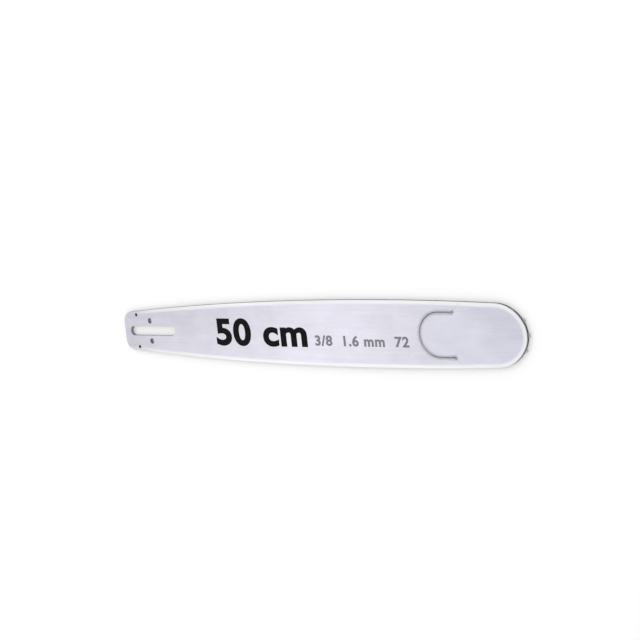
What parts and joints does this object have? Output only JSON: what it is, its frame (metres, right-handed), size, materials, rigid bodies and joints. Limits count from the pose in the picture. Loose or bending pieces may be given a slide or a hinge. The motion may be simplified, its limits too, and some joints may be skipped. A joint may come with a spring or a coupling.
{
  "type": "chainsaw guide bar",
  "caption": "Long flat chainsaw guide bar with bellied edges grooved for the chain, a slotted tail that clamps on the saw's studs, and a riveted nose with a sprocket on roller bearings.",
  "frame": {"origin": "middle of the stud slot, on the saw-side face, the lower of the two as the bar lies", "axes": "+X along the bar to the nose, +Y across the bar, the upper edge of the picture, +Z through the thickness, out of the face that the picture shows"},
  "size_m": [0.594, 0.0774, 0.0048],
  "materials": {
    "bar_steel": "light satin ground faces, bright bare rails along both edges",
    "nose_steel": "light satin ground faces, bright bare rim",
    "core_steel": "plain cold-rolled, lightly oiled",
    "sprocket_steel": "hardened, dark grey with worn bright tooth flanks",
    "bearing_steel": "ground bearing steel, oiled",
    "rivet_steel": "pressed flush and ground with the face"
  },
  "bodies": {
    "bar_with_nose": {"bar": "bar_steel", "near_cheek": "nose_steel", "far_cheek": "nose_steel", "nose_core": "core_steel", "bearing_race": "bearing_steel", "hub_rivets": "rivet_steel", "joint_rivets": "rivet_steel", "cheek_rivets": "rivet_steel"},
    "sprocket": {"nose_sprocket": "sprocket_steel"},
    "roller_ring": {"bearing_roller_01": "bearing_steel", "bearing_roller_02": "bearing_steel", "bearing_roller_03": "bearing_steel", "bearing_roller_04": "bearing_steel", "bearing_roller_05": "bearing_steel", "bearing_roller_06": "bearing_steel", "bearing_roller_07": "bearing_steel", "bearing_roller_08": "bearing_steel", "bearing_roller_09": "bearing_steel", "bearing_roller_10": "bearing_steel", "bearing_roller_11": "bearing_steel", "bearing_roller_12": "bearing_steel", "bearing_roller_13": "bearing_steel", "bearing_roller_14": "bearing_steel", "bearing_roller_15": "bearing_steel", "bearing_roller_16": "bearing_steel", "bearing_roller_17": "bearing_steel", "bearing_roller_18": "bearing_steel"}
  },
  "joints": [
    {"name": "sprocket_spin", "type": "hinge", "parent": "bar_with_nose", "child": "sprocket", "pos_m": [0.51379, 0, 0.0024], "axis": [0, 0, 1], "continuous": true},
    {"name": "roller_orbit", "type": "hinge", "parent": "bar_with_nose", "child": "roller_ring", "pos_m": [0.51379, 0, 0.0024], "axis": [0, 0, 1], "continuous": true}
  ],
  "couplings": [
    {"joint": "roller_orbit", "follows": "sprocket_spin", "ratio": 0.58291}
  ]
}
